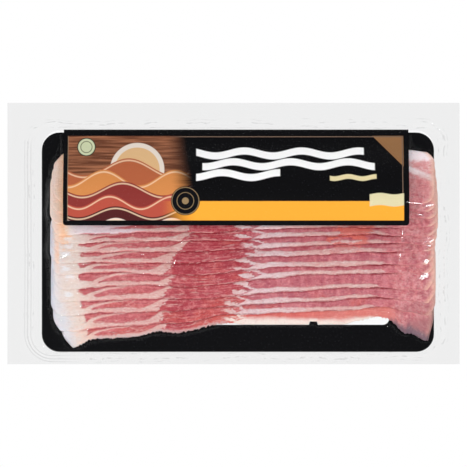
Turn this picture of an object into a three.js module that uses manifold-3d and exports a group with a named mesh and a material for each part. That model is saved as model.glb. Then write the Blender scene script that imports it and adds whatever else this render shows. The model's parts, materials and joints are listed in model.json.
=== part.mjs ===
// Shingled bacon pack, lying on its back: a clear formed pouch, a folded black card
// and thirteen overlapping slices of streaky bacon. Millimetres, +X along the slices,
// +Y to the card's folded edge, +Z up; the origin is below the middle of the pouch.

import * as THREE from 'three';
import { mergeVertices } from 'three/addons/utils/BufferGeometryUtils.js';
import Module from 'manifold-3d';

const wasm = await Module();
wasm.setup();

// Driving dimensions
const GAP = 0.3;

const pouch = {
  length: 292,
  width: 168.8,
  film: 0.5,
  pocketDepth: 4,
  rim: { left: -133, right: 137, bottom: -81, top: 72 },
  rimRadius: 16,
  wallRun: 4,
  cornerRadius: 1.5,
  cornerSteps: 8,
};

const card = {
  thickness: 0.6,
  left: -123.9,
  right: 129.6,
  bottom: -76.5,
  top: 65.3,
  cornerRadius: 11.5,
  windowLeft: -73,
  windowRight: 100.6,
  windowBottom: -59,
  windowTop: -21,
  windowRadius: 4,
  tabLeft: 48.7,
  tabRight: 54.6,
  tabHeight: 2.2,
  tabTaper: 0.8,
  flapLeft: -109.6,
  flapRight: 113,
  flapBottom: 5.2,
  flapThickness: 0.5,
  flapCornerRadius: 2,
  foldTop: 67.2,
  foldRadius: 1.1,
  foldJoin: 2,
  foldSteps: 8,
  slopeSteps: 18,
  slopeLow: 0.2,
  slopeHigh: 0.62,
  slopeSwell: 1.2,
  restClearance: 0.2,
};

// Slices lie along X. Across the pack they are counted in rows, one to each free edge.
const bacon = {
  slices: 13,
  thickness: 2.8,
  clearance: 0.5,
  overlap: 5,
  left: -117.2,
  right: 130.9,
  endScatter: 1.1,
  leftScatter: { rhythm: 1.5, start: 2.2 },
  rightScatter: { rhythm: 0.8, start: 1 },
  lowLeftInset: 8,
  lowLeftFade: 0.7,
  lowRightInset: 2.5,
  lowRightFade: 2,
  edgesAtLeft: [-68.3, -60.9, -51.2, -42.9, -34.5, -25.8, -18.9, -11.6, -5.5, -0.5, 6, 13, 20],
  edgesAtRight: [-57.9, -50, -43.3, -36.2, -26.6, -21, -13.1, -7.5, -1.7, 3.6, 8.5, 14, 19.5],
  leftStation: -87,
  rightStation: 62,
  upperPitch: 7.15,
  furthestAlong: 1.2,
  sag: { x: -24, reach: 32, drop: 2.8 },
  sagRow: 4.5,
  sagRows: 3.6,
  ripples: [{ size: 0.45, wave: 17, turn: 1.3 }, { size: 0.25, wave: 9, turn: 2.1 }],
  swell: { size: 0.03, wave: 21, turn: 0.8 },
  packing: 0.97,
  leftPress: { from: -92, to: -119, share: 0.38 },
  rightPress: { from: 98, to: 131, share: 0.45 },
  settle: 0.5,
  endRadius: 4.8,
  rimThinning: 0.62,
  columns: 26,
  rows: [0, 0.15, 0.5, 1, 2, 3, 4, 5],
  firstColumn: -98,
  lastColumn: 118,
  endColumns: [0.15, 0.55],
};
// Where the lowest slice's edge leaves its line: its ends spread, its middle draws in.
const lowEdge = [
  { x: -104, reach: 9, drop: 4.5 },
  { x: -48, reach: 8, drop: -2.5 },
  { x: -9, reach: 20, drop: -4.8 },
  { x: 28, reach: 26, drop: -2.6 },
  { x: 109, reach: 6, drop: 5 },
  { x: 125, reach: 11, drop: 12 },
];
const lowEdgeFade = 1.3;
// Where the upper ends of the highest slices slant down to the pack's sides.
const highEdge = [
  { x: -121, reach: 11, drop: 11 },
  { x: 133, reach: 16, drop: 2.5 },
];
const highEdgeRow = 13;
const highEdgeRows = 4;

const cardBottom = pouch.film + GAP;
const cardTop = cardBottom + card.thickness;
const baconBottom = cardTop + GAP;
const flapRest = baconBottom + bacon.thickness * (bacon.overlap + 1) + card.restClearance;

// Finishes
const finish = (color, roughness) => new THREE.MeshStandardMaterial({ color, roughness, metalness: 0 });
const clearFilm = new THREE.MeshStandardMaterial({
  color: 0xeef0f2, roughness: 0.12, metalness: 0, transparent: true, opacity: 0.35,
});

const pack = new THREE.Group();

function addPiece(name, geometry, material) {
  const mesh = new THREE.Mesh(geometry, material);
  mesh.name = name;
  pack.add(mesh);
}

// Closed body from a list of points and triangles.
function solidFrom(points, triangles) {
  const geometry = new THREE.BufferGeometry();
  geometry.setAttribute('position', new THREE.Float32BufferAttribute(points.flat(), 3));
  geometry.setIndex(triangles.flat());
  geometry.computeVertexNormals();
  return geometry;
}

// Outline of a rectangle with round corners, anticlockwise.
function roundedOutline(box, radius, steps) {
  const corners = [
    [box.right - radius, box.bottom + radius, -90],
    [box.right - radius, box.top - radius, 0],
    [box.left + radius, box.top - radius, 90],
    [box.left + radius, box.bottom + radius, 180],
  ];
  return corners.flatMap(([x, y, start]) => Array.from({ length: steps + 1 }, (_, i) => {
    const angle = THREE.MathUtils.degToRad(start + (90 * i) / steps);
    return new THREE.Vector2(x + radius * Math.cos(angle), y + radius * Math.sin(angle));
  }));
}

const inset = (box, by) => ({
  left: box.left + by, right: box.right - by, bottom: box.bottom + by, top: box.top - by,
});

// Body whose wall runs through rings of equal point count, closed by its two end faces.
function ringSolid(rings) {
  const count = rings[0].outline.length;
  const points = rings.flatMap(({ outline, z }) => outline.map((p) => [p.x, p.y, z]));
  const triangles = [];
  for (let ring = 0; ring < rings.length - 1; ring += 1) {
    for (let i = 0; i < count; i += 1) {
      const a = ring * count + i;
      const b = ring * count + ((i + 1) % count);
      triangles.push([a, b, b + count], [a, b + count, a + count]);
    }
  }
  const last = (rings.length - 1) * count;
  for (const [a, b, c] of THREE.ShapeUtils.triangulateShape(rings[0].outline, [])) {
    triangles.push([c, b, a]);
  }
  for (const [a, b, c] of THREE.ShapeUtils.triangulateShape(rings.at(-1).outline, [])) {
    triangles.push([last + a, last + b, last + c]);
  }
  return solidFrom(points, triangles);
}

// Formed pouch: a shallow pocket of clear film with a flat sealed flange round it.
function pouchGeometry() {
  const edge = {
    left: -pouch.length / 2, right: pouch.length / 2, bottom: -pouch.width / 2, top: pouch.width / 2,
  };
  const outline = (box, radius) => roundedOutline(box, radius, pouch.cornerSteps);
  const foot = inset(pouch.rim, pouch.wallRun);
  const footRadius = pouch.rimRadius - pouch.wallRun;
  const flange = outline(edge, pouch.cornerRadius);
  const flangeTop = pouch.pocketDepth + pouch.film;
  const rimTop = outline(inset(pouch.rim, pouch.film), pouch.rimRadius - pouch.film);
  return ringSolid([
    { outline: outline(foot, footRadius), z: 0 },
    { outline: outline(pouch.rim, pouch.rimRadius), z: pouch.pocketDepth },
    { outline: flange, z: pouch.pocketDepth },
    { outline: flange, z: flangeTop },
    { outline: rimTop, z: flangeTop },
    { outline: outline(inset(foot, pouch.film), footRadius - pouch.film), z: pouch.film },
  ]);
}

// Solids for joins and cuts
function toManifold(geometry) {
  const bare = geometry.clone();
  bare.deleteAttribute('normal');
  bare.deleteAttribute('uv');
  const merged = mergeVertices(bare, 1e-4);
  return new wasm.Manifold(new wasm.Mesh({
    numProp: 3,
    vertProperties: new Float32Array(merged.attributes.position.array),
    triVerts: new Uint32Array(merged.index.array),
  }));
}

function fromManifold(solid) {
  const { vertProperties, triVerts } = solid.getMesh();
  const geometry = new THREE.BufferGeometry();
  geometry.setAttribute('position', new THREE.BufferAttribute(vertProperties, 3));
  geometry.setIndex(new THREE.BufferAttribute(triVerts, 1));
  geometry.computeVertexNormals();
  return geometry;
}

function extrude(outline, depth, holes = []) {
  const shape = new THREE.Shape(outline);
  shape.holes = holes.map((hole) => new THREE.Path(hole));
  return new THREE.ExtrudeGeometry(shape, { depth, bevelEnabled: false });
}

// Window cut in the back panel, with a small tab left standing on its lower edge.
function windowOutline() {
  const box = {
    left: card.windowLeft, right: card.windowRight, bottom: card.windowBottom, top: card.windowTop,
  };
  const outline = roundedOutline(box, card.windowRadius, 4);
  const tab = [
    new THREE.Vector2(card.tabLeft, box.bottom),
    new THREE.Vector2(card.tabLeft + card.tabTaper, box.bottom + card.tabHeight),
    new THREE.Vector2(card.tabRight - card.tabTaper, box.bottom + card.tabHeight),
    new THREE.Vector2(card.tabRight, box.bottom),
  ];
  return [...outline, ...tab];
}

// Side view of the front flap: up from the fold, over the slope of the slices, then flat.
function flapProfile() {
  const centreZ = cardBottom + card.foldRadius;
  const centreY = card.foldTop - card.foldRadius;
  const slopeStart = new THREE.Vector2(centreY, cardBottom + 2 * card.foldRadius);
  const crest = new THREE.Vector2(bacon.edgesAtRight.at(-1), flapRest + card.flapThickness);
  const slope = new THREE.CubicBezierCurve(
    slopeStart,
    new THREE.Vector2(THREE.MathUtils.lerp(slopeStart.x, crest.x, card.slopeLow), slopeStart.y),
    new THREE.Vector2(
      THREE.MathUtils.lerp(slopeStart.x, crest.x, card.slopeHigh), crest.y + card.slopeSwell,
    ),
    crest,
  );
  const fold = Array.from({ length: card.foldSteps + 1 }, (_, i) => {
    const angle = THREE.MathUtils.degToRad(-90 + (180 * i) / card.foldSteps);
    return new THREE.Vector2(
      centreY + card.foldRadius * Math.cos(angle),
      centreZ + card.foldRadius * Math.sin(angle),
    );
  });
  const tail = new THREE.Vector2(card.flapBottom, crest.y);
  const join = new THREE.Vector2(card.top - card.foldJoin, cardBottom);
  const outer = [join, ...fold, ...slope.getPoints(card.slopeSteps).slice(1), tail];
  const inner = outer.map((point, i) => {
    const before = outer[Math.max(i - 1, 0)];
    const after = outer[Math.min(i + 1, outer.length - 1)];
    const along = after.clone().sub(before).normalize();
    return new THREE.Vector2(
      point.x - along.y * card.flapThickness,
      point.y + along.x * card.flapThickness,
    );
  });
  return [...outer, ...inner.reverse()];
}

// Folded card: a back panel with its window, and a flap over the upper slices.
function cardGeometry() {
  const panelBox = { left: card.left, right: card.right, bottom: card.bottom, top: card.top };
  const panel = extrude(
    roundedOutline(panelBox, card.cornerRadius, 8), card.thickness, [windowOutline()],
  );
  panel.translate(0, 0, cardBottom);

  const flap = extrude(flapProfile(), card.flapRight - card.flapLeft);
  flap.applyMatrix4(new THREE.Matrix4().makeBasis(
    new THREE.Vector3(0, 1, 0), new THREE.Vector3(0, 0, 1), new THREE.Vector3(1, 0, 0),
  ));
  flap.translate(card.flapLeft, 0, 0);

  const trimBox = {
    left: card.flapLeft, right: card.flapRight, bottom: card.flapBottom, top: card.foldTop + card.foldJoin,
  };
  const trim = extrude(roundedOutline(trimBox, card.flapCornerRadius, 4), 2 * flapRest);
  return fromManifold(toManifold(panel).add(toManifold(flap).intersect(toManifold(trim))));
}

const hump = (x, { x: centre, reach, drop }) => drop * Math.exp(-(((x - centre) / reach) ** 2));

// Value of a list at a fractional place, carried on past its end at an even pitch.
function edgeAt(edges, s) {
  const last = edges.length - 1;
  if (s >= last) return edges[last] + (s - last) * bacon.upperPitch;
  const k = Math.floor(s);
  return THREE.MathUtils.lerp(edges[k], edges[k + 1], s - k);
}

// Position across the pack of row coordinate s: slice k runs from s = k to k + overlap,
// and a whole number is the free edge of one slice.
function acrossPack(x, s) {
  const along = (x - bacon.leftStation) / (bacon.rightStation - bacon.leftStation);
  const line = THREE.MathUtils.lerp(
    edgeAt(bacon.edgesAtLeft, s), edgeAt(bacon.edgesAtRight, s),
    Math.min(along, bacon.furthestAlong),
  );
  const middle = Math.exp(-(((s - bacon.sagRow) / bacon.sagRows) ** 4));
  const ripple = bacon.ripples.reduce(
    (sum, { size, wave, turn }) => sum + size * Math.sin(x / wave + turn * s), 0,
  );
  const humps = (parts) => parts.reduce((sum, part) => sum + hump(x, part), 0);
  const low = humps(lowEdge) * Math.exp(-s / lowEdgeFade);
  const high = humps(highEdge) * Math.max((s - highEdgeRow) / highEdgeRows, 0) ** 2;
  return line + ripple - middle * hump(x, bacon.sag) - low - high;
}

// Share of its height that the stack keeps where the film presses the slices' ends flat.
function pressed(x) {
  const { leftPress: left, rightPress: right } = bacon;
  return 1 - left.share * THREE.MathUtils.smoothstep(-x, -left.from, -left.to)
    - right.share * THREE.MathUtils.smoothstep(x, right.from, right.to);
}

// Height that each slice adds to the stack.
function stackStep(x, s) {
  const { size, wave, turn } = bacon.swell;
  return bacon.thickness * (bacon.packing - size * Math.cos(x / wave + turn * s)) * pressed(x);
}

// Height of the underside of slice k: level near the low edge, then falling to the card.
function underside(x, s, k) {
  const fall = bacon.overlap - s;
  const soft = (fall - Math.sqrt(fall * fall + bacon.settle)) / 2;
  return baconBottom + stackStep(x, s) * Math.max(k + soft, 0);
}

// One slice: a strip with rounded ends and thinner edges.
function sliceGeometry(k) {
  const { rows, columns } = bacon;
  const scatter = ({ rhythm, start }) => bacon.endScatter * Math.sin(rhythm * k + start);
  const leftEnd = bacon.left + scatter(bacon.leftScatter)
    + bacon.lowLeftInset * Math.exp(-k / bacon.lowLeftFade);
  const rightEnd = bacon.right + scatter(bacon.rightScatter)
    - bacon.lowRightInset * Math.exp(-k / bacon.lowRightFade);

  const endInset = (row) => {
    const fromEdge = Math.min(row, bacon.overlap - row);
    return bacon.endRadius * Math.max(0, 1 - fromEdge) ** 2;
  };
  const columnX = (column, row) => {
    const [left, right] = [leftEnd + endInset(row), rightEnd - endInset(row)];
    if (column === 0) return left;
    if (column === columns) return right;
    const inward = (end, inner, place) => THREE.MathUtils.lerp(end, inner, bacon.endColumns[place]);
    const extra = bacon.endColumns.length;
    if (column <= extra) return inward(left, bacon.firstColumn, column - 1);
    if (column >= columns - extra) return inward(right, bacon.lastColumn, columns - 1 - column);
    const share = (column - extra - 1) / (columns - 2 * extra - 2);
    return THREE.MathUtils.lerp(bacon.firstColumn, bacon.lastColumn, share);
  };

  const points = [];
  for (const top of [0, 1]) {
    for (const row of rows) {
      for (let column = 0; column <= columns; column += 1) {
        const x = columnX(column, row);
        const atRim = row === 0 || row === bacon.overlap || column % columns === 0;
        const body = (stackStep(x, k + row) - bacon.clearance) * (atRim ? bacon.rimThinning : 1);
        points.push([x, acrossPack(x, k + row), underside(x, k + row, k) + top * body]);
      }
    }
  }

  const width = columns + 1;
  const layer = width * rows.length;
  const triangles = [];
  for (let row = 0; row < rows.length - 1; row += 1) {
    for (let column = 0; column < columns; column += 1) {
      const a = row * width + column;
      const [b, c, d] = [a + 1, a + width + 1, a + width];
      triangles.push([a, c, b], [a, d, c]);
      triangles.push([a + layer, b + layer, c + layer], [a + layer, c + layer, d + layer]);
    }
  }
  const rim = [];
  for (let i = 0; i < columns; i += 1) rim.push(i);
  for (let i = 0; i < rows.length - 1; i += 1) rim.push(columns + i * width);
  for (let i = columns; i > 0; i -= 1) rim.push((rows.length - 1) * width + i);
  for (let i = rows.length - 1; i > 0; i -= 1) rim.push(i * width);
  rim.forEach((a, i) => {
    const b = rim[(i + 1) % rim.length];
    triangles.push([a, b, b + layer], [a, b + layer, a + layer]);
  });
  return solidFrom(points, triangles);
}

addPiece('film_pouch', pouchGeometry(), clearFilm);
addPiece('board', cardGeometry(), finish(0x131417, 0.35));
for (let k = 0; k < bacon.slices; k += 1) {
  const name = `slice_${String(k + 1).padStart(2, '0')}`;
  addPiece(name, sliceGeometry(k), finish(k % 2 ? 0xc9737b : 0xbe626b, 0.4));
}

export default pack;
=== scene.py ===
import json
import math

import bpy
import numpy as np
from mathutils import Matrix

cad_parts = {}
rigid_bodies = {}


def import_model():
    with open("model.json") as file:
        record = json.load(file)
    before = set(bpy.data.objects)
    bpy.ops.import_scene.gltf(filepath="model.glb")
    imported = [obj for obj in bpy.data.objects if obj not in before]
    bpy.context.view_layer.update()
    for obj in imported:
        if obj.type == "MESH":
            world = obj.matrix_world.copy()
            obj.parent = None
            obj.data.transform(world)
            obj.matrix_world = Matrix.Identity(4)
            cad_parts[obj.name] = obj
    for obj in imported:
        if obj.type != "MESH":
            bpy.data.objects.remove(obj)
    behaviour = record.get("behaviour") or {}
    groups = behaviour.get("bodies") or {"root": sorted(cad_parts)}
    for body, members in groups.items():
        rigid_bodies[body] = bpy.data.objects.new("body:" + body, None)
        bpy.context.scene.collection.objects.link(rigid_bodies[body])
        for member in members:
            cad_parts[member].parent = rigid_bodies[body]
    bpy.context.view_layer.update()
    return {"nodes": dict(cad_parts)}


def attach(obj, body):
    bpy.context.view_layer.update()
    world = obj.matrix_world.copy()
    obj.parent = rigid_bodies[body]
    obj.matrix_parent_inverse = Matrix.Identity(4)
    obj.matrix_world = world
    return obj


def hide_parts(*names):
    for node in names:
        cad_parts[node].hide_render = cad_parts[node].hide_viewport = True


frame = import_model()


# View, floor and light. The pack lies on its back and the camera looks straight down on it,
# square on, through a long lens. Large soft lamps stand at its sides and front and the sky
# stays dim, so that the black card keeps its depth; the white table is lit from below.
MM = 0.001
FIELD_WIDTH = 302.0 * MM
CAMERA_HEIGHT = 3.0
SENSOR = 36.0
FLOOR_HALF = 4.0
FLOOR_HEIGHT = -0.0004
HORIZON_GLOW = (0.25, 0.55, 0.65, 0.035)  # two heights, and the strength at each
LAMPS = (
    {"name": "lamp_left", "azimuth": 180, "elevation": 50, "distance": 2.2, "size": 2.2, "power": 31.5},
    {"name": "lamp_right", "azimuth": 0, "elevation": 50, "distance": 2.2, "size": 2.2, "power": 31.5},
    {"name": "lamp_front", "azimuth": 270, "elevation": 46, "distance": 2.2, "size": 1.8, "power": 14},
    {"name": "lamp_key", "azimuth": 240, "elevation": 58, "distance": 2.0, "size": 0.14, "power": 5,
     "mirrored": True},
)


def mesh_object(name, points, faces):
    mesh = bpy.data.meshes.new(name)
    mesh.from_pydata([tuple(p) for p in points], [], [tuple(int(i) for i in f) for f in faces])
    mesh.validate()
    mesh.update()
    piece = bpy.data.objects.new(name, mesh)
    bpy.context.scene.collection.objects.link(piece)
    return piece


def add_camera():
    data = bpy.data.cameras.new("camera")
    data.sensor_width = SENSOR
    data.lens = SENSOR * CAMERA_HEIGHT / FIELD_WIDTH
    data.clip_end = 20
    camera = bpy.data.objects.new("camera", data)
    camera.location = (0, 0, CAMERA_HEIGHT)
    bpy.context.scene.collection.objects.link(camera)
    bpy.context.scene.camera = camera


def add_lamp(name, azimuth, elevation, distance, size, power, mirrored=False):
    data = bpy.data.lights.new(name, "AREA")
    data.shape = "SQUARE"
    data.size = size
    data.energy = power
    lamp = bpy.data.objects.new(name, data)
    turn, lift = math.radians(azimuth), math.radians(elevation)
    flat = distance * math.cos(lift)
    lamp.location = (flat * math.cos(turn), flat * math.sin(turn), distance * math.sin(lift))
    lamp.rotation_euler = (math.pi / 2 - lift, 0, turn + math.pi / 2)
    lamp.visible_glossy = mirrored
    bpy.context.scene.collection.objects.link(lamp)


def add_floor():
    turns = ((-1, -1), (1, -1), (1, 1), (-1, 1))
    corners = [(x * FLOOR_HALF, y * FLOOR_HALF, FLOOR_HEIGHT) for x, y in turns]
    floor = mesh_object("floor", corners, [(0, 1, 2, 3)])
    material = bpy.data.materials.new("floor_white")
    material.use_nodes = True
    shader = material.node_tree.nodes["Principled BSDF"]
    shader.inputs["Base Color"].default_value = (0, 0, 0, 1)
    shader.inputs["Specular IOR Level"].default_value = 0
    shader.inputs["Emission Color"].default_value = (1, 1, 1, 1)
    shader.inputs["Emission Strength"].default_value = 1
    floor.data.materials.append(material)


def add_room():
    """Room light: bright near the horizon, like the walls of a light tent, and dark overhead."""
    world = bpy.data.worlds.new("room")
    world.use_nodes = True
    nodes, links = world.node_tree.nodes, world.node_tree.links
    direction = nodes.new("ShaderNodeTexCoord").outputs["Generated"]
    split = nodes.new("ShaderNodeSeparateXYZ")
    links.new(direction, split.inputs[0])
    falling = nodes.new("ShaderNodeMapRange")
    falling.interpolation_type = "SMOOTHSTEP"
    for socket, value in enumerate(HORIZON_GLOW, start=1):
        falling.inputs[socket].default_value = value
    links.new(split.outputs[2], falling.inputs[0])
    links.new(falling.outputs[0], nodes["Background"].inputs["Strength"])
    nodes["Background"].inputs["Color"].default_value = (1, 1, 1, 1)
    bpy.context.scene.world = world


add_camera()
add_floor()
add_room()
for lamp in LAMPS:
    add_lamp(**lamp)
bpy.context.scene.view_settings.view_transform = "Standard"


# The bacon: thirteen slices cut from one belly, laid over each other like shingles, so that
# each shows only the strip along its lower edge. All are cut alike, so that fat and lean
# line up from slice to slice. Rows count slices: slice k runs from row k to row k + 5.
SLICES = 13
OVERLAP = 5
SLICE_STEP = 2.8
SLICE_CLEARANCE = 0.2
BACON_BOTTOM = 1.7
BACON_LEFT = -117.2
BACON_RIGHT = 130.9
END_SCATTER = 1.1
LEFT_SCATTER = (1.5, 2.2)
RIGHT_SCATTER = (0.8, 1)
LOW_LEFT_INSET, LOW_LEFT_FADE = 5.5, 0.7
LOW_RIGHT_INSET, LOW_RIGHT_FADE = 2.5, 2
END_RADIUS = 4.8
LOWEST_LEFT_TUCK, LOWEST_RIGHT_TUCK, LOWEST_TUCK_FADE = 2.7, -1.2, 3
EDGES_AT_LEFT = [-68.3, -60.9, -51.2, -42.9, -34.5, -25.8, -18.9, -11.6, -5.5, -0.5, 6, 13, 20]
EDGES_AT_RIGHT = [-57.9, -50, -43.3, -36.2, -26.6, -21, -13.1, -7.5, -1.7, 3.6, 8.5, 14, 19.5]
LEFT_STATION = -87.0
RIGHT_STATION = 62.0
FURTHEST_ALONG = 1.2
UPPER_PITCH = 7.15
# Waves: size, length and turn from row to row. Humps: middle along the pack, reach and height.
RIPPLES = ((0.45, 17, 1.3), (0.25, 9, 2.1))
SAG = (-24, 32, 2.8)
SAG_ROW, SAG_ROWS = 4.5, 3.6
LOW_EDGE = [
    (-104, 9, 4.5), (-48, 8, -2.5), (-9, 20, -4.8), (28, 26, -2.6), (109, 6, 5), (125, 11, 12),
]
LOW_EDGE_FADE = 1.3
HIGH_EDGE = [(-121, 11, 11), (133, 16, 2.5)]
HIGH_EDGE_ROW = 13.0
HIGH_EDGE_ROWS = 4.0
WINDOW_BOTTOM = -58.9
WINDOW_RUN = (-3, 6, 70, 80)
UNFRAYED_RUN = (-6, 2, 78, 86)
TAB_LEFT, TAB_RIGHT, TAB_HEIGHT = 48.4, 54.9, 2.0
TIP_RISE = (93, 8, 3)
# Steps: where they begin and end along the pack, and their height or share.
TIP_DROP = (104, 112, 2.2)
LEFT_PRESS = (-92, -119, 0.38)
RIGHT_PRESS = (98, 131, 0.45)
BEND_SOFTNESS = 0.5
EDGE_WAVES = ((0.2, 5.3, 2.9), (0.13, 3.1, 5.1), (0.07, 1.7, 7.7))
EDGE_WAVE_REACH = 2.5
EDGE_ROUND = 1.3
END_ROUND = 1.6
GRID_ROWS = np.concatenate([
    np.array([0, 0.02, 0.06, 0.12, 0.2]), np.linspace(0.3, 1.4, 12), np.linspace(1.6, 4.7, 9),
    np.array([4.85, 4.95, 5]),
])
GRID_COLUMNS, LOWEST_GRID_COLUMNS = 208, 400
GRID_END_COLUMNS = np.array([0.0015, 0.004])
FRAY = {"Depth": 1.6, "Scale": 0.5}
LOWEST_FRAY = {"Depth": 6.5, "Scale": 0.7}
FRAY_SEED_STEP = 3.7


def hump(x, centre, reach, height):
    return height * np.exp(-(((x - centre) / reach) ** 2))


def waved(waves, x, number):
    """Sum of waves along x, each given by its size, its length and its turn from row to row."""
    return sum(size * np.sin(x / length + turn * number) for size, length, turn in waves)


def smooth_step(value, low, high):
    share = np.clip((value - low) / (high - low), 0, 1)
    return share * share * (3 - 2 * share)


def within(value, run):
    """1 between the two inner places of a run, falling to 0 at its outer ones."""
    return smooth_step(value, run[0], run[1]) * (1 - smooth_step(value, run[2], run[3]))


def edge_at(edges, row):
    last = len(edges) - 1
    inside = np.interp(row, np.arange(last + 1), edges)
    return inside + np.maximum(row - last, 0) * UPPER_PITCH


def across_pack(x, row):
    """Place across the pack of a point x along it on a row, in millimetres."""
    along = np.minimum((x - LEFT_STATION) / (RIGHT_STATION - LEFT_STATION), FURTHEST_ALONG)
    left, right = edge_at(EDGES_AT_LEFT, row), edge_at(EDGES_AT_RIGHT, row)
    line = left + (right - left) * along
    middle = np.exp(-(((row - SAG_ROW) / SAG_ROWS) ** 4))
    low = sum(hump(x, *part) for part in LOW_EDGE) * np.exp(-row / LOW_EDGE_FADE)
    above = np.maximum((row - HIGH_EDGE_ROW) / HIGH_EDGE_ROWS, 0) ** 2
    high = sum(hump(x, *part) for part in HIGH_EDGE) * above
    return line + waved(RIPPLES, x, row) - middle * hump(x, *SAG) - low - high


def stack_step(x, row):
    """Height that each slice adds to the stack; the film presses the ends flat."""
    pressed = 1 - LEFT_PRESS[2] * smooth_step(x, LEFT_PRESS[0], LEFT_PRESS[1])
    pressed = pressed - RIGHT_PRESS[2] * smooth_step(x, RIGHT_PRESS[0], RIGHT_PRESS[1])
    return SLICE_STEP * (0.97 - 0.03 * np.cos(x / 21 + 0.8 * row)) * pressed


def free_edge_wobble(x, k):
    """Small waves of one slice's cut edge; the lowest edge also follows the card's window."""
    wobble = waved(EDGE_WAVES, x, k)
    if k == 0:
        tab = TAB_HEIGHT * smooth_step(TAB_RIGHT - x, 0, 1) * smooth_step(x - TAB_LEFT, 0, 1)
        target = WINDOW_BOTTOM + tab
        wobble = wobble + within(x, WINDOW_RUN) * (target - across_pack(x, 0 * x) - wobble)
        wobble = wobble + hump(x, *TIP_RISE) - TIP_DROP[2] * smooth_step(x, TIP_DROP[0], TIP_DROP[1])
    return wobble


def underside(x, row, k):
    """Height of a slice's lower side: level near its cut edge, then falling to the card."""
    fall = OVERLAP - row
    soft = (fall - np.sqrt(fall * fall + BEND_SOFTNESS)) / 2
    return BACON_BOTTOM + stack_step(x, row) * np.maximum(k + soft, 0)


def rim_round(distance, radius):
    """Share of full thickness at a distance in from a round edge."""
    reach = np.clip(1 - distance / radius, 0, 1)
    return np.sqrt(np.maximum(1 - reach ** 2, 0))


def slice_surface(k, top):
    """Points over one face of slice k, and how far each lies from the edges that its paint needs."""
    inner = np.linspace(0, 1, GRID_COLUMNS if k else LOWEST_GRID_COLUMNS)[1:-1]
    share = np.concatenate([[0], GRID_END_COLUMNS, inner, 1 - GRID_END_COLUMNS[::-1], [1]])
    left = BACON_LEFT + END_SCATTER * math.sin(LEFT_SCATTER[0] * k + LEFT_SCATTER[1])
    left = left + LOW_LEFT_INSET * math.exp(-k / LOW_LEFT_FADE)
    right = BACON_RIGHT + END_SCATTER * math.sin(RIGHT_SCATTER[0] * k + RIGHT_SCATTER[1])
    right = right - LOW_RIGHT_INSET * math.exp(-k / LOW_RIGHT_FADE)
    edge = np.minimum(GRID_ROWS, OVERLAP - GRID_ROWS)
    cut_back = np.maximum(0, 1 - edge) ** 2
    left_tuck = (END_RADIUS + LOWEST_LEFT_TUCK * math.exp(-LOWEST_TUCK_FADE * k)) * cut_back
    right_tuck = (END_RADIUS + LOWEST_RIGHT_TUCK * math.exp(-LOWEST_TUCK_FADE * k)) * cut_back
    x = (left + left_tuck)[:, None] + share[None, :] * (right - left - left_tuck - right_tuck)[:, None]
    row = GRID_ROWS[:, None] + k + 0 * x
    edge_y = across_pack(x, k + 0 * x)
    y = across_pack(x, row)
    free = y - edge_y
    hidden = across_pack(x, k + OVERLAP + 0 * x) - y
    next_edge = across_pack(x, k + 1 + 0 * x) + free_edge_wobble(x, k + 1)
    y = y + free_edge_wobble(x, k) * np.exp(-free / EDGE_WAVE_REACH)
    from_end = np.minimum(x - x[:, :1], x[:, -1:] - x)
    round_off = rim_round(np.minimum(free, hidden), EDGE_ROUND) * rim_round(from_end, END_ROUND)
    body = stack_step(x, row) - SLICE_CLEARANCE
    z = underside(x, row, k) + body * (0.5 + (0.5 if top else -0.5) * round_off)
    return x, y, z, free, next_edge - y, from_end


def grid_faces(rows, columns):
    """Quads over a grid, and the numbers of its rim points in order round it."""
    at = np.arange(rows * columns).reshape(rows, columns)
    quads = np.stack([at[:-1, :-1], at[:-1, 1:], at[1:, 1:], at[1:, :-1]], -1).reshape(-1, 4)
    rim = np.concatenate([at[0, :-1], at[:-1, -1], at[-1, :0:-1], at[:0:-1, 0]])
    return quads, rim


def build_slice(k):
    """Slice k as one closed mesh, with marks that tell its shaping and its paint where they are."""
    layers = [slice_surface(k, top) for top in (True, False)]
    rows, columns = layers[0][0].shape
    quads, rim = grid_faces(rows, columns)
    count = rows * columns
    points = np.concatenate([np.stack(layer[:3], -1).reshape(-1, 3) for layer in layers]) * MM
    under = np.arange(count) + count
    under[rim] = rim
    faces = np.concatenate([quads, under[quads][:, ::-1]])
    used = np.unique(faces)
    place = np.full(2 * count, -1)
    place[used] = np.arange(len(used))
    piece = mesh_object(f"bacon_slice_{k + 1:02d}", points[used], place[faces])
    along = points[used][:, 0] / MM
    unfrayed = within(along, UNFRAYED_RUN) * (k == 0)
    marks = {"along": along, "number": 0 * along + k, "ragged": 1 - unfrayed}
    for place_in_layer, name in enumerate(("free", "tuck", "from_end"), start=3):
        values = np.concatenate([layer[place_in_layer].ravel() for layer in layers])
        marks[name] = values[used]
    for name, values in marks.items():
        mark = piece.data.attributes.new(name, "FLOAT", "POINT")
        mark.data.foreach_set("value", values.astype(np.float32))
    piece.data.polygons.foreach_set("use_smooth", [True] * len(piece.data.polygons))
    return piece


def linear(red, green, blue):
    """A colour given in screen values of 0 to 255, as the linear colour that a shader takes."""
    parts = [value / 255 for value in (red, green, blue)]
    bent = [part / 12.92 if part <= 0.04045 else ((part + 0.055) / 1.055) ** 2.4 for part in parts]
    return (*bent, 1.0)


class Wire:
    """A number on its way through a material: arithmetic on it adds Math nodes."""

    def __init__(self, paint, socket):
        self.paint = paint
        self.socket = socket

    def math(self, operation, *others):
        return self.paint.math(operation, self, *others)

    def __add__(self, other):
        return self.math("ADD", other)

    def __sub__(self, other):
        return self.math("SUBTRACT", other)

    def __mul__(self, other):
        return self.math("MULTIPLY", other)

    def __truediv__(self, other):
        return self.math("DIVIDE", other)

    def __rsub__(self, other):
        return self.paint.math("SUBTRACT", other, self)

    def __abs__(self):
        return self.math("ABSOLUTE")

    def __neg__(self):
        return self.math("MULTIPLY", -1)

    __radd__ = __add__
    __rmul__ = __mul__


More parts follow.
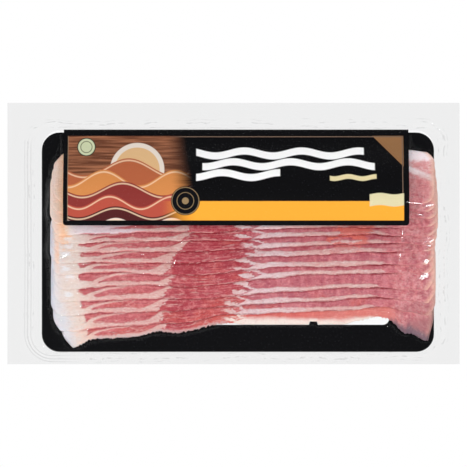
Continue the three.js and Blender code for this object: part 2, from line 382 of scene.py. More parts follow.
class Paint:
    """One material and the nodes that it is made of."""

    def __init__(self, name):
        self.material = bpy.data.materials.new(name)
        self.material.use_nodes = True
        self.tree = self.material.node_tree
        self.tree.nodes.clear()

    def node(self, kind, settings=None, sockets=None):
        made = self.tree.nodes.new(kind)
        for key, value in (settings or {}).items():
            setattr(made, key, value)
        for key, value in (sockets or {}).items():
            socket = made.inputs[key]
            value = value.socket if isinstance(value, Wire) else value
            if isinstance(value, bpy.types.NodeSocket):
                self.tree.links.new(value, socket)
            else:
                socket.default_value = value
        return made

    def math(self, operation, *values):
        made = self.node("ShaderNodeMath", {"operation": operation}, dict(enumerate(values)))
        return Wire(self, made.outputs[0])

    def attribute(self, name):
        return Wire(self, self.node("ShaderNodeAttribute", {"attribute_name": name}).outputs["Fac"])

    def place(self):
        """The three coordinates of a point on the piece, in millimetres."""
        coordinates = self.node("ShaderNodeTexCoord").outputs["Object"]
        split = self.node("ShaderNodeSeparateXYZ", None, {0: coordinates})
        return [Wire(self, split.outputs[i]) * (1 / MM) for i in range(3)]

    def vector(self, x, y, z=0.0):
        return self.node("ShaderNodeCombineXYZ", None, {0: x, 1: y, 2: z}).outputs[0]

    def noise(self, vector, detail=2.0, roughness=0.5):
        """Noise round zero, from about -0.5 to 0.5."""
        made = self.node("ShaderNodeTexNoise", None, {
            "Vector": vector, "Scale": 1.0, "Detail": detail, "Roughness": roughness,
        })
        return Wire(self, made.outputs[0]) - 0.5

    def rise(self, value, low, high):
        """0 below low and 1 above high, smooth between them."""
        made = self.node("ShaderNodeMapRange", {"interpolation_type": "SMOOTHSTEP"}, {
            0: value, 1: low, 2: high, 3: 0.0, 4: 1.0,
        })
        return Wire(self, made.outputs[0])

    def band(self, value, low, high, soft):
        """1 between low and high, and 0 outside them."""
        above = self.rise(value, low - soft, low + soft)
        return above * (1 - self.rise(value, high - soft, high + soft))

    def mix(self, share, under, over):
        """The colour under, covered by the colour over where share is 1."""
        made = self.node("ShaderNodeMix", {"data_type": "RGBA"}, {0: share, 6: under, 7: over})
        return made.outputs[2]

    def layers(self, colour, tones, **covers):
        """A colour under several tones, laid on in order, each by its own cover."""
        for name, cover in covers.items():
            colour = self.mix(cover, colour, linear(*tones[name]))
        return colour

    def bump(self, height, distance, strength=1.0):
        return self.node("ShaderNodeBump", None, {
            "Height": height, "Distance": distance, "Strength": strength,
        }).outputs[0]

    def finish(self, shader):
        self.node("ShaderNodeOutputMaterial", None, {0: shader})
        return self.material


class Shaping(Paint):
    """A Geometry Nodes tree, built with the same arithmetic as the materials."""

    def __init__(self, name, sizes):
        self.tree = bpy.data.node_groups.new(name, "GeometryNodeTree")
        self.sockets = {}
        self.declare("Geometry", "NodeSocketGeometry")
        for size_name, value in sizes:
            self.declare(size_name, "NodeSocketFloat").default_value = value
        self.declare("Material", "NodeSocketMaterial")
        self.tree.interface.new_socket("Geometry", in_out="OUTPUT", socket_type="NodeSocketGeometry")
        self.given = self.node("NodeGroupInput").outputs

    def declare(self, name, kind):
        made = self.tree.interface.new_socket(name, in_out="INPUT", socket_type=kind)
        self.sockets[name] = made.identifier
        return made

    def size(self, name):
        return Wire(self, self.given[name])

    def attribute(self, name):
        made = self.node("GeometryNodeInputNamedAttribute", {"data_type": "FLOAT"}, {"Name": name})
        return Wire(self, made.outputs["Attribute"])

    def finish(self, geometry):
        real = self.node("GeometryNodeRealizeInstances", None, {"Geometry": geometry})
        painted = self.node("GeometryNodeSetMaterial", None, {
            "Geometry": real.outputs[0], "Material": self.given["Material"],
        })
        self.node("NodeGroupOutput", None, {0: painted.outputs[0]})

    def apply(self, piece, **values):
        """Shape a piece by the tree and keep the result as its plain mesh."""
        modifier = piece.modifiers.new("shaping", "NODES")
        modifier.node_group = self.tree
        for name, value in values.items():
            modifier[self.sockets[name]] = value
        graph = bpy.context.evaluated_depsgraph_get()
        shaped = bpy.data.meshes.new_from_object(
            piece.evaluated_get(graph), preserve_all_data_layers=True, depsgraph=graph
        )
        piece.modifiers.clear()
        piece.data = shaped


def cut_edge_tree():
    """Frays the cut edge of a slice: a fine uneven line that fades out within a few millimetres."""
    tree = Shaping("slice_cut_edge", (("Depth", 1.5), ("Scale", 0.5), ("Fade", 1.2), ("Seed", 0.0)))
    line = tree.vector(tree.attribute("along") * tree.size("Scale"), tree.size("Seed"), 0.0)
    fray = tree.noise(line, 3.0, 0.65) * tree.size("Depth") * tree.attribute("ragged")
    fading = (-(tree.attribute("free") / tree.size("Fade"))).math("EXPONENT")
    moved = tree.node("GeometryNodeSetPosition", None, {
        "Geometry": tree.given["Geometry"], "Offset": tree.vector(0.0, fray * fading * MM, 0.0),
    })
    tree.finish(moved.outputs[0])
    return tree


LEAN_TONES = {
    "left": (198, 100, 106), "middle": (181, 63, 76), "right": (192, 104, 115),
    # The last tone here is painted light, laid over the shade of the seams at the right end.
    "right_end": (206, 122, 128), "inner_end": (232, 172, 172), "end_seam": (222, 150, 150),
    "rosy": (208, 94, 84), "patch": (222, 112, 94), "warm": (222, 98, 86),
    "warm_right": (228, 134, 120), "light_bar": (212, 140, 150), "dark_bar": (168, 84, 104),
    "light_streak": (214, 128, 132), "dark_streak": (152, 42, 54),
    "light_grit": (216, 132, 134), "dark_grit": (158, 48, 60),
    "light_fleck": (220, 146, 146), "dark_fleck": (158, 50, 64),
    "light_mottle": (228, 172, 172), "dark_mottle": (176, 88, 98),
    # Both are painted shade under the edge of the next slice, the second deeper.
    "shade": (150, 30, 46), "hook": (136, 28, 44),
}
FAT_TONES = {
    "left_end": (226, 210, 202), "left": (218, 174, 168), "middle": (221, 194, 197),
    "right": (214, 172, 168), "crown_end": (250, 236, 240), "window_edge": (244, 230, 220),
    "flushed": (210, 140, 140), "light_crumb": (238, 226, 222), "peach": (250, 208, 184),
    "shade": (186, 104, 104), "cream": (250, 234, 222), "amber": (247, 186, 128),
    # The second tone here is a painted highlight, a bluish sheen on the fat.
    "under_card": (226, 216, 228), "moist": (240, 245, 252), "left_rim": (228, 232, 242),
    "low_rim": (204, 210, 220), "outermost": (196, 202, 222), "lowest": (222, 214, 206),
}
EDGE_TONES = {
    # The first two tones are painted shade for the seams; the third is painted light for the walls at
    # the right end.
    "seam_left": (196, 60, 72), "seam": (146, 20, 36), "wall": (222, 150, 150),
    "right_rim": (238, 194, 176), "tip": (160, 108, 112), "fringe": (102, 92, 106),
    "light_speck": (240, 204, 200), "dark_speck": (148, 70, 78), "frayed": (208, 180, 178),
}


def bacon_material():
    """Streaky bacon: one recipe of fat and lean along the slice, worn differently by each.

    Places are in millimetres: x along the pack, free from the cut edge, tuck to the next slice.
    """
    paint = Paint("bacon_lean_and_fat")
    x, free, number = paint.attribute("along"), paint.attribute("free"), paint.attribute("number")
    tuck, from_end = paint.attribute("tuck"), paint.attribute("from_end")
    wander = paint.noise(paint.vector(x * 0.04, number * 0.7, free * 0.05))
    wisp = paint.noise(paint.vector(x * 0.12, number * 5.3, free * 0.3), 3.0)
    fray = paint.noise(paint.vector(x * 0.6, number * 2.9, free * 1.2), 3.0, 0.6)
    crumb = paint.noise(paint.vector(x * 0.3, number * 9.1, free * 0.9), 4.0, 0.6)
    turned_x, turned_free = x * 0.8 + free * 0.6, free * 0.8 - x * 0.6
    grit = paint.noise(paint.vector(turned_x * 0.36, number * 3.3, turned_free * 0.36), 3.0, 0.55)
    speck = paint.noise(paint.vector(turned_x * 1.1, number * 6.7, turned_free * 1.1), 2.0, 0.7)
    own = paint.noise(paint.vector(number * 3.71, 0.5, 7.3), 0.0)
    other = paint.noise(paint.vector(number * 2.63, 4.5, 1.3), 0.0)
    high = paint.rise(number, 2.5, 9)
    mid = paint.rise(number, 0, 6)
    bottom = 1 - paint.rise(number, 0.3, 0.7)
    under_card = paint.rise(number, 8.4, 8.6)
    mottle = paint.rise(x, 98, 110)
    place = x + wander * 6 + wisp * 9 + fray * 4.5
    depth = free + wander * 1.4 + wisp * 3.4 + fray * 1.3
    share = depth / (free + tuck).math("MAXIMUM", 4.5)

    def over(value, limit, soft=0.06):
        return paint.rise(value - limit, -soft, soft)

    def opening(value):
        """How far a lens has opened: nothing at its tip, then quickly and ever more slowly."""
        return (value / 6).math("MAXIMUM", 0).math("SQRT")

    def long_way(along, aside):
        return (along * along + aside * aside).math("SQRT")

    # Left third: a lens of lean under each upper edge, split by a slanting band of fat.
    left_start = paint.rise(number, 7.4, 9) * 17 - paint.rise(number, 0, 3) * 4 - 94.5
    west = place - high * 15
    split = place + own * 22 - under_card * 10
    first_low = 0.5 + opening(split + 94) * 0.27
    first = over(share, first_low + high * 0.1) * paint.rise(place - left_start, -1, 1)
    second_low = 0.34 + wander * 0.5 + paint.rise(west + other * 16, -57, -40) * 0.75
    second_high = 0.38 + opening(split + 90.5) * 0.29
    second_high = second_high - (1 - paint.rise(split, -92, -90)) * 0.4
    second = over(share, second_low + high * 0.1) * (1 - over(share, second_high - high * 0.05))
    left_lean = first.math("MAXIMUM", second)
    left_border = west - share * 7 + 48 + other * 9 + fray * 3 + crumb * 9
    left_fat = (1 - left_lean) * (1 - paint.rise(left_border, -0.5, 0.5))

    # Middle: deep lean, with pale broken lines along the cut edges, veins and islands of fat.
    edge_line = (1 - paint.rise(free + fray, 0.3, 0.8)) * paint.rise(wisp + crumb, -0.04, 0.06)
    edge_line = edge_line * paint.band(x, -50, 6, 5) * 0.6
    vein = paint.noise(paint.vector(x * 0.03 + free * 0.012, number * 7.1, free * 0.26), 3.0, 0.5)
    vein = (1 - paint.rise(abs(vein), 0.003, 0.024)) * paint.rise(crumb, -0.12, 0.06) * 0.7
    vein = vein * (1 - paint.rise(x, 8, 18) * 0.7)
    island_x = (place - mid * 11 + 3.5 + own * 16) / 5.2
    island_y = (depth - 2.4 + island_x * 0.9 + other * 5) / 1.2
    island = long_way(island_x, island_y) + crumb * 1.6 + fray * 0.6
    island = 1 - paint.rise(island, 0.75, 1.1)

    # Right third: a stripe of fat along each cut edge, forked where it begins.
    east = (place - mid * 12 - 2 + other * 12) / 9
    fork_open = (1 - east).math("MAXIMUM", 0)
    root = 1 - paint.rise(place, 26, 52)
    wider = paint.band(number, 4.5, 6.5, 0.1) * paint.band(place, 48, 84, 12)
    stripe_depth = 2.5 + wander * 1.4 + root * 0.8 + fork_open * fork_open * 4
    stripe_depth = stripe_depth + wider * 1.2
    stripe_end = 1 - paint.rise(place - mid * 8, 86, 95)
    calm = free + wander * 1.2 + wisp * 2.2 + fray * 0.8
    stripe_soft = 1.6 - paint.rise(number, 0.3, 0.7) * 1.1
    stripe = 1 - over(calm, stripe_depth * stripe_end, stripe_soft)
    arrow = abs(depth - 3.0) - (0.5 - east) * 3.2
    stripe = stripe * paint.rise(arrow, -0.3, 0.3) * paint.rise(place, -2, 1) * stripe_end
    end_vein = paint.noise(paint.vector(x * 0.14, number * 0.6, free * 0.18), 4.0, 0.65)
    end_vein = (1 - paint.rise(abs(end_vein), 0.0, 0.035)) * paint.rise(x, 98, 108) * 0.45

    # Crown: the wide fat of the top slice, past its cut edge and along a slant to the card.
    crown = paint.rise(free - 27 + grit * 5, -0.8, 2.4)
    slant = paint.rise(abs(free - 67.6 + x * 0.4 + grit * 3), 0.7, 3.3)
    crown = crown.math("MAXIMUM", 1 - slant)

    fat = left_fat
    for part in (edge_line, vein, island, stripe, end_vein, crown):
        fat = fat.math("MAXIMUM", part)
    patch = paint.noise(paint.vector(x * 0.09, number * 3.3, free * 0.22), 2.0)
    patch = paint.rise(patch + fray * 0.3, -0.1, -0.03) * paint.rise(number, 5.6, 6.4)
    patch = patch * paint.band(x + wisp * 14 - number * 3, 40, 65, 2)
    fat = fat.math("MINIMUM", 1.0) * (1 - patch * 0.8)

    # Lean: a tone for each part of the slice, then bars, streaks and grit, then painted shade at the
    # seams, and painted light that lifts the shade of the seams at the right end.
    streak = paint.noise(paint.vector(x * 0.07, number * 4.1, free * 1.1 + x * 0.05), 4.0, 0.6)
    streak = streak * (1 - paint.rise(place, 4, 18) * 0.65)
    bars = paint.noise(paint.vector(x * 0.26, number * 1.3, free * 0.05), 1.0)
    rosy = paint.band(place - mid * 12, -26, 3, 6) * 0.15
    rosy = wander + streak * 0.5 + (2.4 - number) * 0.04 + rosy
    flecked = (fray + crumb * 0.4) * (1 - paint.rise(place, 90, 108) * 0.6)
    mottled = grit + crumb * 0.6
    # Painted shade: lean and fat darken just under the cut edge of the next slice, and deeper still by
    # the ends of the stripes at the right.
    shade = (1 - paint.rise(tuck + fray * 1.6, 0.2, 1.3)) * paint.band(x, -99, 108, 4)
    hook = (1 - paint.rise(tuck + fray * 2, 0.2, 1.7)) * paint.band(place - mid * 6, 86, 99, 3)
    lean = paint.layers(
        linear(*LEAN_TONES["left"]), LEAN_TONES,
        middle=paint.rise(left_border, -1, 1),
        right=paint.rise(place - mid * 10, -6, 10),
        right_end=paint.rise(place, 90, 108),
        rosy=paint.rise(rosy, 0.02, 0.2) * 0.6,
        light_bar=paint.rise(bars, -0.02, 0.14) * (paint.rise(x, 2, 20) * 0.34 + 0.08),
        dark_bar=paint.rise(bars, 0.0, -0.16) * paint.rise(x, 0, 20) * 0.4,
        light_streak=paint.rise(streak, 0.0, 0.18) * 0.6,
        dark_streak=paint.rise(streak, 0.0, -0.17) * 0.6,
        light_grit=paint.rise(grit + crumb * 0.5, 0.02, 0.2) * 0.4,
        dark_grit=paint.rise(grit + crumb * 0.5, -0.02, -0.2) * 0.35,
        light_fleck=paint.rise(flecked, 0.03, 0.22) * 0.4,
        dark_fleck=paint.rise(flecked, -0.03, -0.22) * 0.35,
        light_mottle=mottle * paint.rise(mottled, 0.0, 0.2) * 0.5,
        dark_mottle=mottle * paint.rise(mottled, 0.0, -0.2) * 0.5,
        patch=patch * 0.75,
        inner_end=paint.rise(free, 12, 26) * mottle * 0.65,
        shade=shade * 0.55,
        # painted light: lightens the shade under the next slice's edge at the right end
        end_seam=mottle * (1 - paint.rise(tuck, 0.3, 1.2)) * 0.35,
        hook=hook * 0.85,
    )
    warm = paint.mix(
        paint.rise(x, 20, 80), linear(*LEAN_TONES["warm"]), linear(*LEAN_TONES["warm_right"]),
    )
    lean = paint.mix(bottom * paint.rise(x, -30, 0) * (1 - mottle) * 0.65, lean, warm)

    # Fat: a tone for each part of the slice, flushed by the lean, amber and cream at the left, with
    # painted shade at the seams and a painted highlight, a soft sheen, on the fat at the left end.
    flushed = paint.rise(x, -100, -84) * 0.45 + 0.12
    peach = (1 - paint.rise(number, 2, 4)) * paint.band(x + crumb * 14, -102, -90, 10) * 0.4
    amber = paint.rise(number + crumb * 5, 6.5, 8.5) * (1 - paint.rise(x + wisp * 16, -110, -101))
    amber_line = paint.band(x + fray * 2, -115.5, -112.5, 0.8) * paint.rise(number, 4.5, 6)
    amber = amber.math("MAXIMUM", amber_line)
    amber = amber * (1 - under_card * paint.rise(x + crumb * 12, -110, -104))
    # Painted highlight: soft bluish-white patches of sheen, a painted reflection, on the fat at the left
    # end.
    moist_x = (x + 106.5 + fray * 3 + other * 6) / 3.2
    moist_y = (share - 0.62 + crumb * 1.2 + own) / 0.26
    moist = 1 - paint.rise(long_way(moist_x, moist_y), 0.5, 1.4)
    rim_x = x + crumb * 6 + wander * 6 - (1 - paint.rise(number, 0, 3)) * 8
    left_rim = 1 - paint.rise(rim_x, -117, -107)
    outermost = (1 - paint.rise(x + crumb * 3, -118, -114)) * (1 - paint.rise(number, 8, 10))
    lowest = bottom * (1 - paint.rise(free + fray, 0.2, 1.0))
    pale = paint.layers(
        linear(*FAT_TONES["left_end"]), FAT_TONES,
        left=paint.rise(x, -102, -84),
        middle=paint.rise(x, -10, 10),
        right=paint.rise(x, 24, 54),
        flushed=paint.rise(fray + crumb, 0.0, 0.25) * flushed,
        light_crumb=paint.rise(fray + crumb, 0.0, -0.25) * 0.4,
        crown_end=paint.rise(free, 14, 24) * mottle,
        peach=peach * paint.rise(crumb + wander, -0.1, 0.1),
        shade=shade * 0.4,
        cream=paint.rise(number, 7, 9) * (1 - paint.rise(x, -112, -100)) * 0.6,
        amber=amber * 0.8,
        under_card=under_card * paint.band(x, -104, -60, 6) * 0.6,
        moist=moist * paint.band(number, 2.5, 8.5, 0.2) * 0.55,
        left_rim=left_rim * 0.5,
        low_rim=left_rim * (1 - paint.rise(number, 1, 3.5)) * 0.45,
        outermost=outermost * 0.5,
        lowest=lowest * 0.5,
        window_edge=bottom * paint.band(x, -4, 100, 4) * 0.8,
    )

    # Edges: painted shade in dark red along the cut edges between the slices, painted light on the walls
    # at the right end, a pale rim at the right end, and fine specks over all.
    # Painted light: the walls of the cut edges at the right end are lightened, to cancel their shade.
    wall = 1 - paint.rise(free + fray * 0.5, 0.2, 0.55)
    # Painted shade: the cut edge of every slice but the lowest is darkened to deep red, as the shade in
    # the step where it lies over the slice below.
    seam = 1 - paint.rise(free + fray * 0.8, 0.35, 1.0)
    seam = seam * paint.band(x, -98, 96, 4) * paint.rise(crumb + wisp, 0.08, -0.04)
    seam_red = paint.mix(
        paint.rise(x, -52, -40), linear(*EDGE_TONES["seam_left"]), linear(*EDGE_TONES["seam"]),
    )
    right_rim = (1 - paint.rise(from_end + wisp * 3, 0.5, 4.5)) * paint.rise(x, 90, 110)
    tip = (1 - paint.rise(number, 0.5, 1.5)) * paint.rise(x + crumb * 8 - free * 1.5, 98, 112)
    fringe = bottom * paint.rise(x, 98, 106) * (1 - paint.rise(free + crumb * 7 + bars * 4, 0.8, 5.0))
    sown = speck + grit * 0.5
    frayed = bottom * (1 - paint.rise(free + fray * 3 + crumb * 3, 0.8, 2.4)) * paint.band(x, -90, -4, 5)
    colour = paint.mix(fat, lean, pale)
    colour = paint.mix(seam * (1 - bottom) * 0.65, colour, seam_red)
    colour = paint.layers(
        colour, EDGE_TONES,
        wall=wall * mottle * 0.4,
        right_rim=right_rim * 0.75,
        tip=tip * 0.7,
        fringe=fringe * 0.8,
        light_speck=paint.rise(sown, 0.0, 0.3) * 0.22,
        dark_speck=paint.rise(sown, 0.0, -0.3) * 0.22,
        frayed=frayed * 0.7,
    )
    relief = fat * 0.4 + streak * 0.8 + crumb * 0.8 + grit * 0.4
    shader = paint.node("ShaderNodeBsdfPrincipled", None, {
        "Base Color": colour,
        "Roughness": 0.42 - fat * 0.08,
        "Normal": paint.bump(relief, 0.0007, 0.7),
        "Specular IOR Level": 0.4,
        "Subsurface Weight": 0.25,
        "Subsurface Radius": (1.0, 0.45, 0.35),
        "Subsurface Scale": 0.001,
    })
    return paint.finish(shader.outputs[0])


bacon = bacon_material()
cut_edge = cut_edge_tree()
for k in range(SLICES):
    piece = build_slice(k)
    cut_edge.apply(piece, Seed=FRAY_SEED_STEP * k, Material=bacon, **(FRAY if k else LOWEST_FRAY))
    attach(piece, "root")
    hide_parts(f"slice_{k + 1:02d}")


# The card: one sheet of black coated board, cut, creased along the upper edge and folded
# over the slices. The front flap is printed with a picture field, a band and a corner.
FIELD_LEFT, FIELD_RIGHT, FIELD_BOTTOM, FIELD_TOP = -106.7, 109.6, 8.4, 63.0
FOLD_HEIGHT = 2.0
PRINT_SOFT = 0.3
SUN = (-62, 41)
SEAL = (-30.9, 21)
BADGE = (-94.9, 55.8)
# Hills: level, height, length and turn of the wave, and tone. The bars add half width and ends.
HILLS = (
    (43, 5.5, 58, 2.6, (182, 100, 66)), (36, 5.0, 46, 0.4, (214, 140, 80)),
    (29, 4.5, 52, 3.9, (140, 54, 50)), (21, 4.0, 40, 1.5, (184, 82, 66)),
    (14, 3.5, 48, 5.2, (84, 34, 36)), (7, 3.0, 36, 2.2, (236, 216, 202)),
)
CREST_DROP = 1.4
WAVY_BARS = (
    (51.6, 1.6, 37, 0.4, 2.3, -24, 84, (253, 253, 253)),
    (44.6, 1.6, 37, 1.6, 2.3, -20, 91, (253, 253, 253)),
    (37.6, 1.6, 37, 2.8, 2.3, -24, 30, (253, 253, 253)),
    (36.0, 0.7, 18, 0.9, 1.5, 62, 92, (232, 218, 170)),
)
INKS = {
    "black": (10, 10, 12), "worn_black": (16, 16, 20), "scuffed": (120, 120, 122),
    "dusk": (104, 62, 44), "glow": (166, 108, 78), "sun_rim": (230, 218, 206),
    "sun": (222, 182, 134), "crest": (244, 212, 178), "band": (255, 174, 58),
    "corner": (148, 108, 72), "thin_lines": (120, 98, 84), "plaque": (222, 213, 172),
    "seal": (14, 14, 18), "seal_rings": (150, 126, 92), "badge_rim": (44, 46, 36),
    "badge": (206, 212, 176), "badge_ring": (96, 104, 78), "field_edge": (150, 128, 104),
}


def card_material():
    paint = Paint("card_printed_black")
    x, y, z = paint.place()
    soft = PRINT_SOFT

    def disc(centre, radius, edge=0.25):
        reach = (x - centre[0]).math("POWER", 2) + (y - centre[1]).math("POWER", 2)
        return 1 - paint.rise(reach.math("SQRT"), radius - edge, radius + edge)

    def above_wave(level, height, length, turn):
        """How far a point lies above a line that rises and falls about a level."""
        return y - level - height * (x * (math.tau / length) + turn).math("SINE")

    wear = paint.noise(paint.vector(x * 0.8, y * 0.8, z * 0.8), 3.0)
    black = paint.layers(
        linear(*INKS["black"]), INKS,
        worn_black=paint.rise(wear, -0.1, 0.4),
    )

    # Picture field: a sun over rows of hills, each with a light line along its crest.
    grain = paint.noise(paint.vector(x * 0.04, y * 0.8), 3.0)
    picture = paint.layers(
        linear(*INKS["dusk"]), INKS,
        glow=paint.rise(grain, -0.15, 0.2),
        sun_rim=disc(SUN, 17.5),
        sun=disc(SUN, 14.5),
    )
    for level, height, length, turn, tone in HILLS:
        hill = 1 - paint.rise(above_wave(level, height, length, turn), -soft, soft)
        picture = paint.mix(hill, picture, linear(*tone))
        from_crest = abs(above_wave(level - CREST_DROP, height, length, turn))
        crest = 1 - paint.rise(from_crest, 0.5 - soft, 0.5 + soft)
        picture = paint.layers(picture, INKS, crest=crest * 0.7)
    fade = paint.rise(x + (y - 35) * 0.15 + grain * 6, -41, -26)

    # Band, corner, thin lines, plaque, seal and badge, printed over picture and black.
    line_top = paint.band(y, 62.2, 62.8, 0.15) * paint.rise(x, -44, -30)
    line_right = paint.band(x, 108.6, 109.2, 0.15) * paint.rise(y, 20, 24)
    plaque_path = y - 0.5 * (x * 0.35).math("SINE")
    rings = disc(SEAL, 8.9) - disc(SEAL, 8.4) + disc(SEAL, 5.6) - disc(SEAL, 5.2)
    art = paint.layers(
        paint.mix(fade, picture, black), INKS,
        band=paint.band(y, 0, 20.8, soft) * paint.rise(x, -48, -23),
        corner=paint.rise(x - 89.7 - (FIELD_TOP - y), -soft, soft),
        thin_lines=line_top.math("MAXIMUM", line_right),
        plaque=paint.rise(x, 87.2, 87.8) * paint.band(plaque_path, 17.8, 25.6, soft),
        seal=disc(SEAL, 9.3),
        seal_rings=rings + disc(SEAL, 2.2),
        badge_rim=disc(BADGE, 6.0),
        badge=disc(BADGE, 5.4),
        badge_ring=disc(BADGE, 3.9) - disc(BADGE, 3.4),
    )
    for level, height, length, turn, half_width, start, end, tone in WAVY_BARS:
        from_wave = abs(above_wave(level, height, length, turn))
        bar = 1 - paint.rise(from_wave, half_width - soft, half_width + soft)
        art = paint.mix(bar * paint.band(x, start, end, 0.4), art, linear(*tone))

    # The print covers the flap's field alone; the board round it shows a little wear, and pale grey
    # flecks along the fold.
    front = paint.rise(z, FOLD_HEIGHT, FOLD_HEIGHT + 0.3)
    across = paint.band(y, FIELD_BOTTOM, FIELD_TOP, soft)
    field = paint.band(x, FIELD_LEFT, FIELD_RIGHT, soft) * across
    edge = paint.band(x, FIELD_LEFT - 0.2, FIELD_LEFT + 0.3, 0.15) * across
    scuff = paint.noise(paint.vector(x * 0.5, y * 1.6, z * 0.4), 3.0, 0.6)
    scuffed = paint.rise(scuff, 0.16, 0.24) * paint.band(y, 63.6, 68, 0.4) * front
    colour = paint.layers(
        paint.mix(front * field, black, art), INKS,
        field_edge=front * edge * 0.7,
        scuffed=scuffed * 0.5,
    )
    shader = paint.node("ShaderNodeBsdfPrincipled", None, {
        "Base Color": colour,
        "Roughness": 0.26 + wear * 0.08,
        "Specular IOR Level": 0.25,
        "Normal": paint.bump(wear, 0.0001, 0.2),
    })
    return paint.finish(shader.outputs[0])


card = frame["nodes"]["board"]
card.data.materials.clear()
card.data.materials.append(card_material())


# The pouch: a lower web of clear film with a shallow pocket, and an upper web sealed to it
# all round and drawn down by the vacuum, so that it clings to the slices and the card.
POUCH_HALF = (146.0, 84.4)
FLANGE_TOP = 4.5
FLANGE_UNDER = 4.0
POCKET = (-133, 137, -81, 72)
POCKET_RADIUS = 16.0
POCKET_SLOPE = 4.0
POCKET_FLOOR = 0.5
CARD_BOX = (-123.9, 129.6, -76.5, 67.2)
CARD_RADIUS = 11.5
FILM_STEP = 1.4
FILM_THICKNESS = 0.25
FILM_LIFT = 0.15
FILM_PULL = 0.45
FILM_ROUNDS = 160
RAY_START = 0.05
# Press lines: distance out from the pocket's rim, half width and share of cover.
PRESS_LINES = ((-0.4, 0.3, 0.8), (-3.6, 0.2, 0.7), (1.6, 0.15, 0.4))
LEFT_PRESS_LINES = ((1.7, 0.2, 0.55), (-0.1, 0.2, 0.8), (-2.1, 0.2, 0.6))
PRESS_SOFT = 0.35
VEIL_TONE = (0.14, 0.145, 0.15, 1)
CLEAR_TONE = (1, 1, 1, 1)
CREASE_SHARE = 0.3
MOST_CREASE_SHARE = 0.4
FACET_NORMAL = (-0.138, -0.239, 0.961)
# Creases: middle along and across the pack, half length, half width and turn in radians.
CREASES = (
    (124.3, -17.9, 1.6, 1.6, 0), (121.6, -28.2, 2.0, 1.9, 0), (124.2, -26.9, 1.7, 1.8, 0),
    (-109.5, -14.6, 3.2, 0.7, 0.45), (-29.4, 2.4, 1.9, 0.16, 1.3), (-27.0, 0.2, 1.6, 0.16, 0.9),
    (-33.2, -5.7, 1.3, 0.15, 0.7), (-38.2, -18.6, 2.6, 0.18, 0.9), (108.6, -0.8, 3.6, 0.2, 1.55),
    (106.9, -15.5, 3.0, 0.22, 1.35), (127.8, -4.6, 2.0, 0.5, 0.5), (125.8, -7.8, 1.6, 0.4, -0.4),
    (123.7, -5.4, 1.0, 0.5, 0.2), (117, 19.6, 6, 0.35, -0.08), (126.5, 18.2, 3, 0.7, 0.15),
    (121, 12, 2, 0.3, 0),
)


def rounded_box_distance(x, y, box, radius):
    """Distance outside a rectangle with round corners, negative inside it."""
    left, right, bottom, top = box
    dx = np.abs(x - (left + right) / 2) - (right - left) / 2 + radius
    dy = np.abs(y - (bottom + top) / 2) - (top - bottom) / 2 + radius
    outside = np.hypot(np.maximum(dx, 0), np.maximum(dy, 0))
    return outside + np.minimum(np.maximum(dx, dy), 0) - radius


def contents_height(x, y):
    """Height of the highest piece in the pouch over each point of a grid, looking down."""
    bpy.context.view_layer.update()
    height = np.full(x.shape, POCKET_FLOOR)
    names = ["board"] + [f"bacon_slice_{k + 1:02d}" for k in range(SLICES)]
    columns, rows = x[0] * MM, y[:, 0] * MM
    for name in names:
        piece = bpy.data.objects[name]
        points = np.empty(len(piece.data.vertices) * 3, np.float32)
        piece.data.vertices.foreach_get("co", points)
        points = points.reshape(-1, 3)
        low, high = points.min(0), points.max(0)
        for i in np.nonzero((rows >= low[1]) & (rows <= high[1]))[0]:
            for j in np.nonzero((columns >= low[0]) & (columns <= high[0]))[0]:
                hit, spot, _, _ = piece.ray_cast((columns[j], rows[i], RAY_START), (0, 0, -1))
                if hit:
                    height[i, j] = max(height[i, j], spot[2] / MM)
    return height


def draped(obstacle, fixed, level):
    """A film held at its rim and pulled down over an obstacle, eased until it lies taut."""
    film = np.where(fixed, level, np.maximum(obstacle, level))
    for _ in range(FILM_ROUNDS):
        around = np.pad(film, 1, mode="edge")
        mean = (around[:-2, 1:-1] + around[2:, 1:-1] + around[1:-1, :-2] + around[1:-1, 2:]) / 4
        film = np.where(fixed, level, np.maximum(obstacle, mean - FILM_PULL))
    return film


def film_mesh():
    """The pocket below and the drawn-down web above, closed by a thin wall round the rim."""
    half_x, half_y = POUCH_HALF
    xs = np.linspace(-half_x, half_x, int(2 * half_x / FILM_STEP) + 1)
    ys = np.linspace(-half_y, half_y, int(2 * half_y / FILM_STEP) + 1)
    x, y = np.meshgrid(xs, ys)
    outside = rounded_box_distance(x, y, POCKET, POCKET_RADIUS)
    floor = np.clip(FLANGE_UNDER * (1 + outside / POCKET_SLOPE), 0, FLANGE_UNDER)
    contents = contents_height(x, y)
    padded = np.pad(contents, 1, mode="edge")
    rows, columns = x.shape
    for i in range(3):
        for j in range(3):
            contents = np.maximum(contents, padded[i:i + rows, j:j + columns])
    obstacle = np.maximum(contents + FILM_LIFT, floor + FILM_THICKNESS)
    top = draped(obstacle, outside > 0, FLANGE_TOP)
    quads, rim = grid_faces(rows, columns)
    upper = np.stack([x, y, top], -1).reshape(-1, 3)
    lower = np.stack([x, y, floor], -1).reshape(-1, 3)
    count = rows * columns
    walls = np.stack([rim, rim + count, np.roll(rim, -1) + count, np.roll(rim, -1)], -1)
    faces = np.concatenate([quads, (quads + count)[:, ::-1], walls])
    piece = mesh_object("clear_film", np.concatenate([upper, lower]) * MM, faces)
    piece.data.polygons.foreach_set("use_smooth", [True] * len(piece.data.polygons))
    return piece


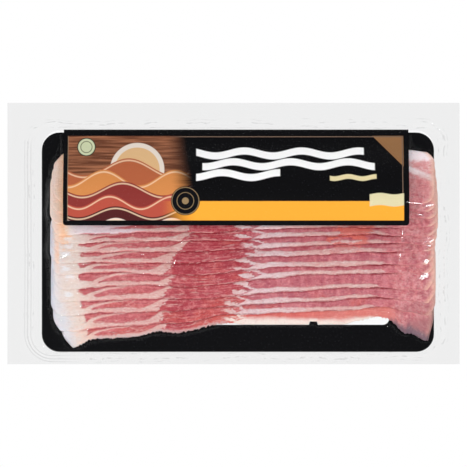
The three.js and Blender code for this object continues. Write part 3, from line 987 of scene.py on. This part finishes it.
def film_material():
    """Clear film: a grey cast where it lies loose in two plies, clearer where it is drawn tight."""
    paint = Paint("film_clear")
    x, y, z = paint.place()

    def box_distance(box, radius):
        left, right, bottom, top = box
        dx = abs(x - (left + right) / 2) - (right - left) / 2 + radius
        dy = abs(y - (bottom + top) / 2) - (top - bottom) / 2 + radius
        ox, oy = dx.math("MAXIMUM", 0), dy.math("MAXIMUM", 0)
        outside = (ox * ox + oy * oy).math("SQRT")
        return outside + dx.math("MAXIMUM", dy).math("MINIMUM", 0) - radius

    loose = paint.noise(paint.vector(x * 0.05, y * 0.05, z * 0.1), 3.0)
    crinkle = paint.noise(paint.vector(x * 0.12, y * 0.2, z * 0.2), 4.0, 0.6)
    gathered = paint.noise(paint.vector(x * 0.3, y * 0.3, z * 0.1), 3.0, 0.65)
    right_end = paint.band(x, 108, 131, 3) * paint.band(y, -50, 12, 5)
    corner_pull = paint.band(x, 98, 108, 2) * paint.band(y, -14, 5, 2)
    left_end = paint.band(x, -112, -101, 2) * paint.band(y, -38, -10, 2)
    pulls = (right_end + corner_pull + left_end).math("MINIMUM", 1.0)
    past_card = box_distance(CARD_BOX, CARD_RADIUS)
    past_pocket = box_distance(POCKET, POCKET_RADIUS)
    two_plies = paint.rise(past_card, -0.9, 0.0)

    # Press lines: broken ones all round the pocket, and steady ones at its left end.
    lines = []
    for offset, width, share in PRESS_LINES:
        line = 1 - paint.rise(abs(past_pocket - offset + loose * 7 + crinkle), width, width + PRESS_SOFT)
        lines.append(line * paint.rise(crinkle + gathered * 0.4, 0.0, 0.14) * share)
    for offset, width, share in LEFT_PRESS_LINES:
        line = 1 - paint.rise(abs(past_pocket - offset + loose * 1.2), width, width + PRESS_SOFT)
        lines.append(line * paint.rise(x + loose * 30, -98, -120) * paint.rise(y, 66, 50) * share)
    press_lines = lines[0]
    for line in lines[1:]:
        press_lines = press_lines.math("MAXIMUM", line)
    cast = two_plies * 0.074 + press_lines * two_plies * 0.09 + (1 - two_plies) * 0.008
    veil = paint.node("ShaderNodeBsdfDiffuse", None, {"Color": VEIL_TONE})
    clear = paint.node("ShaderNodeBsdfTransparent", None, {"Color": CLEAR_TONE})
    normal = paint.bump(crinkle * 0.7 + gathered * pulls * 1.2, 0.0014, 0.6)
    gloss = paint.node("ShaderNodeBsdfGlossy", None, {
        "Color": CLEAR_TONE, "Roughness": 0.06, "Normal": normal,
    })
    body = paint.node("ShaderNodeMixShader", None, {
        0: cast, 1: clear.outputs[0], 2: veil.outputs[0],
    })
    tilt = paint.node("ShaderNodeLayerWeight", None, {"Blend": 0.5, "Normal": normal})
    mirrored = Wire(paint, tilt.outputs["Facing"]).math("POWER", 5) * 0.6 + 0.015
    shine = paint.node("ShaderNodeMixShader", None, {
        0: mirrored, 1: body.outputs[0], 2: gloss.outputs[0],
    })

    # Creases of the film that catch the small key lamp, as small facets turned towards it.
    creases = (1 - paint.rise(abs(gathered), 0.004, 0.02)) * 0.2
    crease_share = creases * paint.band(x, 122, 128, 1) * paint.band(y, -11, -2, 1.5)
    for cx, cy, half_length, half_width, turn in CREASES:
        along = ((x - cx) * math.cos(turn) + (y - cy) * math.sin(turn)) / half_length
        aside = ((y - cy) * math.cos(turn) - (x - cx) * math.sin(turn)) / half_width
        reach = (along * along + aside * aside).math("SQRT") + crinkle * 0.8
        crease_share = crease_share + (1 - paint.rise(reach, 0.6, 1.1)) * CREASE_SHARE
    facet = paint.node("ShaderNodeBsdfGlossy", None, {
        "Color": CLEAR_TONE, "Roughness": 0.25, "Normal": paint.vector(*FACET_NORMAL),
    })
    glinting = paint.node("ShaderNodeMixShader", None, {
        0: crease_share.math("MINIMUM", MOST_CREASE_SHARE), 1: shine.outputs[0], 2: facet.outputs[0],
    })
    return paint.finish(glinting.outputs[0])


film = film_mesh()
film.data.materials.append(film_material())
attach(film, "root")
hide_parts("film_pouch")
